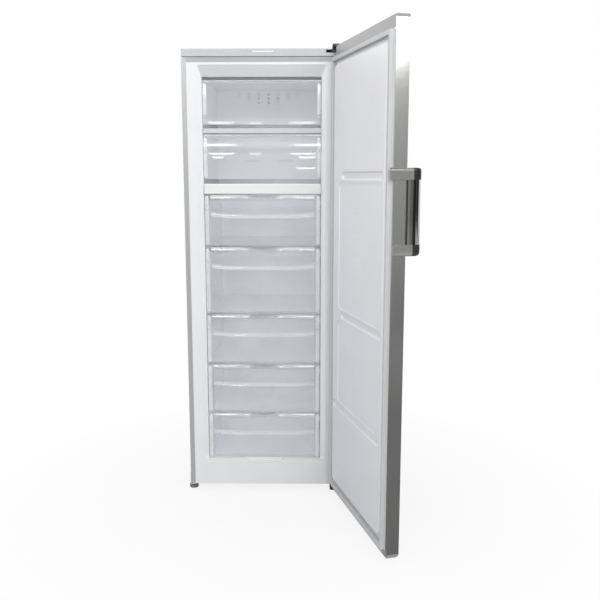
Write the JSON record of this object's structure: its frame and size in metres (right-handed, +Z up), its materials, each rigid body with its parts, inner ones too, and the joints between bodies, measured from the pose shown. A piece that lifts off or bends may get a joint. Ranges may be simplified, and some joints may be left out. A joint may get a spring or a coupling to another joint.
{
  "type": "upright freezer",
  "caption": "Tall free-standing upright freezer with a right-hinged insulated door, two flap compartments, clear drawers and a side-mounted door handle.",
  "frame": {"origin": "middle of the freezer's footprint box on the floor, with the door standing open as at rest", "axes": "+Z up, -Y out of the freezer's front, +X to the right seen from the front, where the door's hinges are"},
  "size_m": [0.8236, 1.2027, 1.7232],
  "materials": {
    "side_steel": "grey satin paint",
    "galvanised": "galvanised sheet, satin",
    "top_plastic": "light grey satin",
    "white_liner": "white moulded, semi-gloss",
    "foam": "rigid foam",
    "clear_plastic": "clear moulded plastic",
    "tub_plastic": "clear moulded plastic, slightly cloudy",
    "shelf_glass": "toughened glass",
    "shelf_trim": "pale moulded trim",
    "dark_plastic": "black moulded",
    "foot_plastic": "dark grey moulded",
    "motor_steel": "plain steel",
    "aluminium": "mill finish",
    "heater_steel": "plain steel",
    "drain_plastic": "pale moulded",
    "black_steel": "black paint, satin",
    "copper": "copper tube",
    "mount_rubber": "black rubber",
    "door_steel": "steel-look finish, satin",
    "door_cap": "grey satin",
    "door_liner_white": "white vacuum-formed, semi-gloss",
    "gasket_grey": "pale grey soft seal",
    "handle_grey": "grey satin",
    "handle_chrome": "polished"
  },
  "bodies": {
    "cabinet": {"side_panel_left": "side_steel", "side_panel_right": "side_steel", "back_panel": "galvanised", "base_plate": "galvanised", "front_rail": "side_steel", "top_cover": "top_plastic", "inner_liner": "white_liner", "cabinet_insulation": "foam", "corner_cap": "top_plastic", "compressor_tray": "galvanised", "shelf_1_glass": "shelf_glass", "shelf_1_front": "shelf_trim", "shelf_2_glass": "shelf_glass", "shelf_2_front": "white_liner", "air_duct_cover": "white_liner", "fan_shroud": "dark_plastic", "fan_motor": "motor_steel", "evaporator_fins": "aluminium", "evaporator_tube": "aluminium", "defrost_heater": "heater_steel", "drain_tube": "drain_plastic", "compressor": "black_steel", "compressor_mounts": "mount_rubber", "evaporation_bowl": "dark_plastic", "refrigerant_pipes": "copper", "filter_drier": "motor_steel", "condenser": "black_steel", "control_box": "dark_plastic", "top_hinge": "black_steel", "bottom_hinge": "black_steel", "hinge_screws": "heater_steel"},
    "door": {"door_skin": "door_steel", "door_top_cap": "door_cap", "door_bottom_cap": "door_cap", "hinge_bushes": "drain_plastic", "door_liner": "door_liner_white", "door_insulation": "foam", "door_gasket": "gasket_grey", "handle_bracket_upper": "handle_grey", "handle_bracket_lower": "handle_grey", "handle_bar": "handle_chrome", "handle_screw": "heater_steel"},
    "left_foot": {"foot_left": "foot_plastic"},
    "right_foot": {"foot_right": "foot_plastic"},
    "left_roller": {"roller_left": "dark_plastic"},
    "right_roller": {"roller_right": "dark_plastic"},
    "upper_flap": {"flap_1": "clear_plastic"},
    "lower_flap": {"flap_2": "clear_plastic"},
    "fan": {"fan_impeller": "dark_plastic"},
    "drawer_1": {"drawer_1_tub": "tub_plastic", "drawer_1_front": "clear_plastic"},
    "drawer_2": {"drawer_2_tub": "tub_plastic", "drawer_2_front": "clear_plastic"},
    "drawer_3": {"drawer_3_tub": "tub_plastic", "drawer_3_front": "clear_plastic"},
    "drawer_4": {"drawer_4_tub": "tub_plastic", "drawer_4_front": "clear_plastic"},
    "drawer_5": {"drawer_5_tub": "tub_plastic", "drawer_5_front": "clear_plastic"}
  },
  "joints": [
    {"name": "door_hinge", "type": "hinge", "parent": "cabinet", "child": "door", "pos_m": [0.184, -0.02304, 0.0268], "axis": [0, 0, 1], "range_deg": [-105.74, 14]},
    {"name": "upper_flap_hinge", "type": "hinge", "parent": "cabinet", "child": "upper_flap", "pos_m": [-0.10374, 0.02086, 1.5985], "axis": [-1, 0, 0], "range_deg": [0, 88]},
    {"name": "lower_flap_hinge", "type": "hinge", "parent": "cabinet", "child": "lower_flap", "pos_m": [-0.10374, 0.02086, 1.40125], "axis": [-1, 0, 0], "range_deg": [0, 88]},
    {"name": "fan_spin", "type": "hinge", "parent": "cabinet", "child": "fan", "pos_m": [-0.10374, 0.47586, 1.541], "axis": [0, 1, 0], "continuous": true},
    {"name": "left_foot_turn", "type": "hinge", "parent": "cabinet", "child": "left_foot", "pos_m": [-0.39324, 0.03986, 0], "axis": [0, 0, 1], "continuous": true},
    {"name": "right_foot_turn", "type": "hinge", "parent": "cabinet", "child": "right_foot", "pos_m": [0.18576, 0.03986, 0], "axis": [0, 0, 1], "continuous": true},
    {"name": "left_roller_spin", "type": "hinge", "parent": "cabinet", "child": "left_roller", "pos_m": [-0.37224, 0.56986, 0.02], "axis": [1, 0, 0], "continuous": true},
    {"name": "right_roller_spin", "type": "hinge", "parent": "cabinet", "child": "right_roller", "pos_m": [0.16476, 0.56986, 0.02], "axis": [1, 0, 0], "continuous": true},
    {"name": "drawer_1_slide", "type": "slide", "parent": "cabinet", "child": "drawer_1", "axis": [0, -1, 0], "range_m": [0, 0.33]},
    {"name": "drawer_2_slide", "type": "slide", "parent": "cabinet", "child": "drawer_2", "axis": [0, -1, 0], "range_m": [0, 0.33]},
    {"name": "drawer_3_slide", "type": "slide", "parent": "cabinet", "child": "drawer_3", "axis": [0, -1, 0], "range_m": [0, 0.33]},
    {"name": "drawer_4_slide", "type": "slide", "parent": "cabinet", "child": "drawer_4", "axis": [0, -1, 0], "range_m": [0, 0.33]},
    {"name": "drawer_5_slide", "type": "slide", "parent": "cabinet", "child": "drawer_5", "axis": [0, -1, 0], "range_m": [0, 0.23]}
  ]
}
